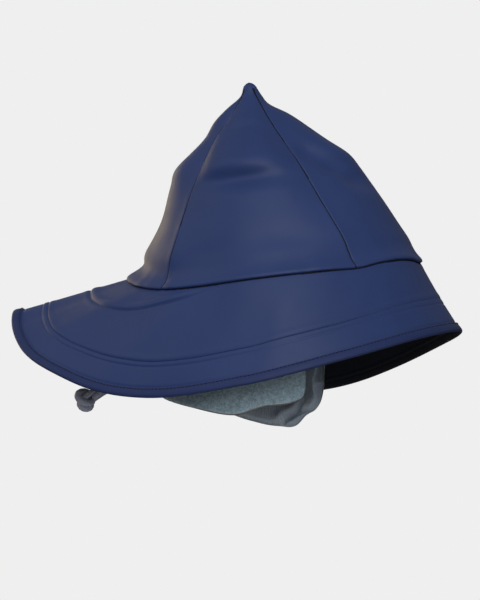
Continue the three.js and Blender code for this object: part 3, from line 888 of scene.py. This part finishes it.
def make_light(back, right, up):
    """A pale room that is lighter above, and the soft lights of the table LIGHTS. What the camera
    sees of the room is the plain backdrop."""
    world = bpy.data.worlds.new("room")
    bpy.context.scene.world = world
    world.use_nodes = True
    tree = world.node_tree
    tree.nodes.clear()
    output = tree.nodes.new("ShaderNodeOutputWorld")
    seen = node(tree, "ShaderNodeBackground", {"Color": (*grey(BACKDROP), 1), "Strength": 1.0})
    direction = node(tree, "ShaderNodeTexCoord").outputs["Generated"]
    height = node(tree, "ShaderNodeSeparateXYZ", {"Vector": direction}).outputs["Z"]
    sky = node(tree, "ShaderNodeMapRange", {"Value": height, **SKY_LIGHT}).outputs[0]
    lit = node(tree, "ShaderNodeBackground", {"Color": (0.95, 0.97, 1.0, 1), "Strength": sky})
    ray = node(tree, "ShaderNodeLightPath").outputs["Is Camera Ray"]
    both = node(tree, "ShaderNodeMixShader", {0: ray, 1: lit.outputs[0], 2: seen.outputs[0]})
    tree.links.new(both.outputs[0], output.inputs[0])
    middle = Vector(LIGHT_AIM)
    for name, (across, near, above), size, power, colour in LIGHTS:
        data = bpy.data.lights.new(name, "AREA")
        data.size = size
        data.energy = power
        data.color = colour
        light = bpy.data.objects.new(name, data)
        light.location = middle + right * across + back * near + up * above
        light.rotation_euler = (middle - light.location).to_track_quat("-Z", "Y").to_euler()
        bpy.context.scene.collection.objects.link(light)


def make_floor():
    """A pale floor well below the hat, which fades out into the backdrop."""
    mesh = bpy.data.meshes.new("floor")
    corners = [(FLOOR_RADIUS * cos(a), FLOOR_RADIUS * sin(a), -FLOOR_DROP) for a in range(0, 360, 5)]
    mesh.from_pydata(corners, [], [tuple(range(len(corners)))])
    material, tree, shader, place = new_material("floor")
    flat = node(tree, "ShaderNodeVectorMath", {0: place, 1: (1, 1, 0)}, operation="MULTIPLY").outputs[0]
    reach = node(tree, "ShaderNodeVectorMath", {0: flat}, operation="LENGTH").outputs["Value"]
    fade = node(tree, "ShaderNodeMapRange", {"Value": reach, **FLOOR_FADE}).outputs[0]
    set_inputs(tree, shader, {"Base Color": (*grey(0.82), 1), "Roughness": 0.9, "Alpha": fade})
    mesh.materials.append(material)
    floor = bpy.data.objects.new("floor", mesh)
    bpy.context.scene.collection.objects.link(floor)


def make_panels(outside, inside):
    """The crown's panels: inner sides and side edges take the dark lining, and so do the strips beside the
    seams, as painted shade of the seam grooves.
    """
    across = both_sides(crowded(PANEL_ACROSS // 2))
    up = crowded_ends(PANEL_ROWS, PANEL_CROWDING)
    thickness = CLOTH + ridge(up * CROWN_HEIGHT, *LIP_THICKER)
    thickness = thickness * np.sqrt(np.clip((1 - up) / TIP_THIN, TIP_THINNEST, 1))
    for name, facing, column in CROWN_PANELS:
        outer = crown_point(facing, column, across[:, None], up[None, :])
        points, faces, n_out, n_in = wall(outer, thickness[None, :], 1, False, EDGE_BLEND)
        slots = np.zeros(len(faces), int)
        slots[n_out:n_out + n_in] = 1
        slots[n_out + n_in + 2 * PANEL_ACROSS:] = 1
        middles = (outer[1:] + outer[:-1])[:, 1:] / 2
        spacing = np.linalg.norm(np.diff(outer, axis=0), axis=-1)[:, 1:]
        to_edge = np.minimum(np.cumsum(spacing, axis=0), np.cumsum(spacing[::-1], axis=0)[::-1])
        # the strips beside the seams take the dark lining as painted shade of the grooves
        dark = (to_edge < SEAM_SHADE_WIDTH) & (middles[..., 2] < CROWN_HEIGHT * SEAM_SHADE_END)
        slots[:n_out][dark.ravel()] = 1
        panel = put_down(name + "_cloth", points, faces, [outside, inside], slots, node=name)


def inner_seam(turn):
    """Distance of the inner ring's outer seam. It draws in where the ring is only an allowance."""
    return crescent_edge(turn) - NARROW_DRAW * rising(crescent_edge(turn), *NARROW_RING)


def make_brim(outside, inside):
    turns = np.arange(RING_STEPS) * 360 / RING_STEPS
    flange = np.linspace(-FLANGE_IN - FLANGE_OUT, UNDER_LIP, FLANGE_ROWS)[:-1]
    edges = (
        np.full(RING_STEPS, UNDER_LIP),
        inner_seam(turns),
        double_seam(turns),
        brim_width(turns) - HEM_WIDTH + UNDER_HEM,
    )
    for n, name in enumerate(("brim_inner", "brim_middle", "brim_outer")):
        share = crowded_ends(RING_ROWS[n], RING_CROWDING)
        distance = edges[n][:, None] * (1 - share) + edges[n + 1][:, None] * share
        if n == 0:
            tucked = np.broadcast_to(flange, (RING_STEPS, len(flange)))
            distance = np.concatenate([tucked, distance], axis=1)
        outer = brim_point(turns[:, None], distance)
        points, faces, n_out, n_in = wall(outer, CLOTH, -1, True)
        slots = np.zeros(len(faces), int)
        slots[n_out:n_out + n_in] = 1
        # the brim's start under the lip takes the dark lining as painted shadow of the gap under the lip
        slots[:n_out][(distance[:, 1:] < LIP_SHADOW_REACH).ravel()] = 1
        ring = put_down(name + "_cloth", points, faces, [outside, inside], slots, node=name)


def hem_frame(turn):
    """Middle of the hem's section, its outward slant and its normal at some turns."""
    width = brim_width(turn)
    outer = brim_point(turn, width)
    slant = unit(outer - brim_point(turn, width - HEM_WIDTH))
    after, before = turn + 0.5, turn - 0.5
    along = brim_point(after, brim_width(after)) - brim_point(before, brim_width(before))
    normal = unit(np.cross(slant, along))
    rise = HEM_RISE * (ease(mirrored(turn) / HEM_RISE_TURN) * 2 - 1)
    middle = outer - slant * (HEM_WIDTH / 2 - HEM_PAST) + normal * rise[:, None]
    return middle, slant, normal


def make_hem(outside, inside, seam_thread):
    """The rolled hem, flatter than round, with a slight ripple from the sewing."""
    turns = np.arange(RING_STEPS * 2) * 180 / RING_STEPS
    middle, slant, normal = hem_frame(turns)
    angle = np.linspace(0, 2 * np.pi, HEM_SIDES, endpoint=False)[None, :]
    ripple = 1 + sum(height * np.sin(np.radians(turns) * count)[:, None] for height, count in HEM_RIPPLES)
    across = np.sign(np.cos(angle)) * np.abs(np.cos(angle)) ** HEM_POWERS[0]
    thick = np.sign(np.sin(angle)) * np.abs(np.sin(angle)) ** HEM_POWERS[1]
    thick = thick * (1 - HEM_TAPER + HEM_TAPER * np.cos(angle)) * ripple
    points = (
        middle[:, None]
        + slant[:, None] * (across * HEM_WIDTH / 2)[..., None]
        + normal[:, None] * (thick * HEM_THICKNESS / 2)[..., None]
    )
    columns = len(turns)
    here = np.arange(columns)[:, None] * HEM_SIDES
    there = np.roll(here, -1)
    k = np.arange(HEM_SIDES)[None, :]
    after = np.roll(k, -1)
    faces = np.stack([here + k, there + k, there + after, here + after], axis=-1).reshape(-1, 4)
    # the hem's underside takes the dark lining as painted shade
    hem_shade_mask = (k > HEM_SIDES * HEM_SHADED_SIDE[0]) & (k < HEM_SIDES * HEM_SHADED_SIDE[1])
    slots = np.broadcast_to(hem_shade_mask, (columns, HEM_SIDES)).ravel().astype(int)
    put_down("rim_hem_cloth", points.reshape(-1, 3), faces, [outside, inside], slots, node="rim_hem")
    make_stitches(seam_thread)


def make_stitches(seam_thread):
    """A row of short sunk stitches along the hem's upper edge."""
    middle, slant, normal = hem_frame(np.linspace(0, 360, STITCH_LINE))
    line = middle - slant * (HEM_WIDTH / 2 - STITCH_IN) + normal * (HEM_THICKNESS / 2 * STITCH_SUNK)
    length = run_length(line)
    count = int(length[-1] / STITCH_PITCH)
    rings = len(STITCH_SWELL)
    points, faces = [], []
    for n in range(count):
        along = (n + 0.5) * length[-1] / count + np.linspace(-0.5, 0.5, rings) * STITCH_LENGTH
        spots = np.stack([np.interp(along, length, line[:, k]) for k in range(3)], axis=-1)
        up = np.stack([np.interp(along[0], length, normal[:, k]) for k in range(3)])
        ahead = unit(spots[-1] - spots[0])
        beside = np.cross(ahead, up)
        first = len(points)
        for spot, swell, dive in zip(spots, STITCH_SWELL, STITCH_DIVE):
            size, sink = swell * STITCH_RADIUS, dive * STITCH_RADIUS
            for k in range(STITCH_SIDES):
                angle = 2 * math.pi * k / STITCH_SIDES
                points.append(spot + up * (sink + size * math.sin(angle)) + beside * size * math.cos(angle))
        for ring in range(rings - 1):
            for k in range(STITCH_SIDES):
                a = first + ring * STITCH_SIDES + k
                b = first + ring * STITCH_SIDES + (k + 1) % STITCH_SIDES
                faces.append((a, a + STITCH_SIDES, b + STITCH_SIDES, b))
        last = first + (rings - 1) * STITCH_SIDES
        faces.append(tuple(first + k for k in range(STITCH_SIDES)))
        faces.append(tuple(last + k for k in reversed(range(STITCH_SIDES))))
    put_down("hem_stitches", points, faces, [seam_thread])


def band_point(along, fall):
    """The fleece band's outer face: along from the right front edge (-1) to the left one (1), fall
    from the crown seam (0) to the lower edge (1)."""
    turn = 180 - (180 - BAND_FRONT_TURN) * along
    side = mirrored(turn)
    seam_height = BACK_LIFT * seam_lift(side) - SIDE_DIP * seam_dip(side)
    top = ring_point(turn, -FLANGE_IN - GAP, seam_height + (BRIM_TOP - CLOTH))
    edge = stack(
        BAND_LENGTH * band_front(along),
        BAND_HALF_WIDTH * band_left(along),
        -BAND_DROP * band_drop(along),
    )
    lean = ease(fall)[..., None]
    point = top * (1 - lean) + edge * lean
    point[..., 2] = top[..., 2] * (1 - fall) + edge[..., 2] * fall
    return point


def near_line(along, fall, line):
    """Distance in millimetres from a line of places (along, fall) on the band."""
    best = np.full(along.shape, 1e9)
    for (a0, f0), (a1, f1) in zip(line, line[1:]):
        start = np.array([a0 * BAND_ALONG, f0 * BAND_FALL])
        step = np.array([a1 * BAND_ALONG, f1 * BAND_FALL]) - start
        x, y = along * BAND_ALONG - start[0], fall * BAND_FALL - start[1]
        share = np.clip((x * step[0] + y * step[1]) / (step @ step), 0, 1)
        best = np.minimum(best, np.hypot(x - share * step[0], y - share * step[1]))
    return best


def band_thickness(along, fall):
    """The fleece is folded back on itself at its front and lower edges, which makes them fat rolls.
    The left flap's corner has creased where the two rolls meet."""
    from_front = (1 - np.abs(along)) * BAND_ALONG
    from_low = (1 - fall) * BAND_FALL
    low, more = LOW_ROLL_HEIGHT
    low_height = low + more * rising(np.abs(along), *ROLL_CORNER)
    roll = ridge(from_front, *FRONT_ROLL) + low_height * ridge(from_low, *LOW_ROLL)
    crease = ridge(near_line(along, fall, CREASE), *CREASE_DEPTH)
    crease = crease + ridge(near_line(along, fall, PIT), *PIT_DEPTH)
    swell = ridge(near_line(along, fall, CREASE_SIDE), *CREASE_SWELL)
    return FLEECE * np.maximum(1 + roll + swell - crease, THINNEST)


def band_edge_share(along, fall):
    """Share of the thickness that is left towards the band's rounded front and lower edges."""
    inside = np.minimum((1 - np.abs(along)) * BAND_ALONG, (1 - fall) * BAND_FALL)
    return np.sqrt(np.clip(1 - (1 - np.clip(inside / EDGE_ROUND, 0, 1)) ** 2, EDGE_THINNEST, 1))


def make_band(pile, knit, edge):
    along = both_sides(crowded(BAND_STEPS // 2))[:, None]
    down = crowded(BAND_ROWS)[None, :]
    along, down = np.broadcast_arrays(along, down)
    outer = band_point(along, down)
    top_row = outer[:, :1] + np.array([0, 0, BAND_TOP + CLOTH])
    outer = np.concatenate([top_row, outer], axis=1)
    along = np.concatenate([along[:, :1], along], axis=1)
    down = np.concatenate([down[:, :1] - BAND_OVERLAP, down], axis=1)
    full = band_thickness(along, down)
    left = band_edge_share(along, down)
    outer = outer - normals_of(outer, False) * (np.minimum(full, FLEECE) * (1 - left) / 2)[..., None]
    points, faces, n_out, n_in = wall(outer, full * left, 1, False)
    slots = np.full(len(faces), 2)
    cut = (left[1:, 1:] < CUT_EDGE).ravel()
    slots[:n_out] = np.where(cut, 2, 0)
    slots[n_out:n_out + n_in] = 1
    weave = np.stack([along * WEAVE_ALONG, down * WEAVE_DOWN, 0 * along], axis=-1).reshape(-1, 3)
    band = put_down(
        "ear_neck_band_fleece", points, faces, [pile, knit, edge], slots,
        node="ear_neck_band", weave=np.concatenate([weave, weave]),
    )


def tube(route, radius):
    """A braided tube along a route of points, with its centreline."""
    curve = np.array(route, float)
    chord = run_length(curve)
    table = {"s": chord, "x": curve[:, 0], "y": curve[:, 1], "z": curve[:, 2]}
    count = int(chord[-1] / CORD_STEP)
    at = np.linspace(0, chord[-1], count + 1)
    line = np.stack([smooth(table, "s", axis)(at) for axis in "xyz"], axis=-1)
    ahead = unit(np.gradient(line, axis=0))
    side = unit(np.cross(ahead, TUBE_SIDE))
    other = np.cross(ahead, side)
    angle = np.linspace(0, 2 * np.pi, CORD_SIDES, endpoint=False)
    phase = 2 * np.pi * at[:, None] / (radius * BRAID_PITCH)
    braid = np.sin(BRAID_STRANDS * angle + phase) * np.sin(BRAID_STRANDS * angle - phase)
    size = radius * (1 + BRAID * braid)
    sideways, upwards = np.cos(angle) * size, np.sin(angle) * size
    points = line[:, None] + side[:, None] * sideways[..., None] + other[:, None] * upwards[..., None]
    rows = len(line)
    i, k = np.arange(rows - 1)[:, None], np.arange(CORD_SIDES)[None, :]
    a, b = i * CORD_SIDES + k, i * CORD_SIDES + (k + 1) % CORD_SIDES
    faces = np.stack([a, b, b + CORD_SIDES, a + CORD_SIDES], axis=-1).reshape(-1, 4).tolist()
    faces.append(tuple(range(CORD_SIDES))[::-1])
    faces.append(tuple((rows - 1) * CORD_SIDES + k for k in range(CORD_SIDES)))
    return points.reshape(-1, 3), faces, line


def make_cords(sleeve, picture_point):
    """The two free ends, then the knot."""
    knot = make_knot(sleeve, picture_point)
    for name, route in (("drawcord_left", CORD_LEFT), ("drawcord_right", CORD_RIGHT)):
        points, faces, line = tube(route, CORD_DIAMETER / 2)
        piece = put_down(name + "_braid", points, faces, [sleeve], node=name)
        path = [tilted(point) for point in line]


def make_knot(sleeve, picture_point):
    points, faces = [], []
    for radius, turns in KNOT_TURNS:
        route = [picture_point(x, y, KNOT_DEPTH + depth) for x, y, depth in turns]
        ring_points, ring_faces, _ = tube(route, radius)
        faces += [tuple(len(points) + k for k in face) for face in ring_faces]
        points += ring_points.tolist()
    points = [Matrix.Rotation(TILT, 3, "Y") @ Vector(point) for point in points]
    return put_down("drawcord_knot_braid", points, faces, [sleeve], node="drawcord_knot")


back, right, up, picture_point = make_camera()
make_light(back, right, up)
make_floor()

cloth = coated_cloth("coated_cloth", CLOTH_SHADES, CLOTH_GLOSS)
hem_cloth = coated_cloth("hem_cloth", HEM_SHADES, HEM_GLOSS)
lining_and_shade = knit_lining_and_painted_shade()
make_cords(cord_sleeve(), picture_point)
make_panels(cloth, lining_and_shade)
make_brim(cloth, lining_and_shade)
make_hem(hem_cloth, lining_and_shade, thread())
make_band(fleece_pile(), fleece_knit(), fleece_edge())

bpy.context.scene.view_settings.view_transform = "Standard"
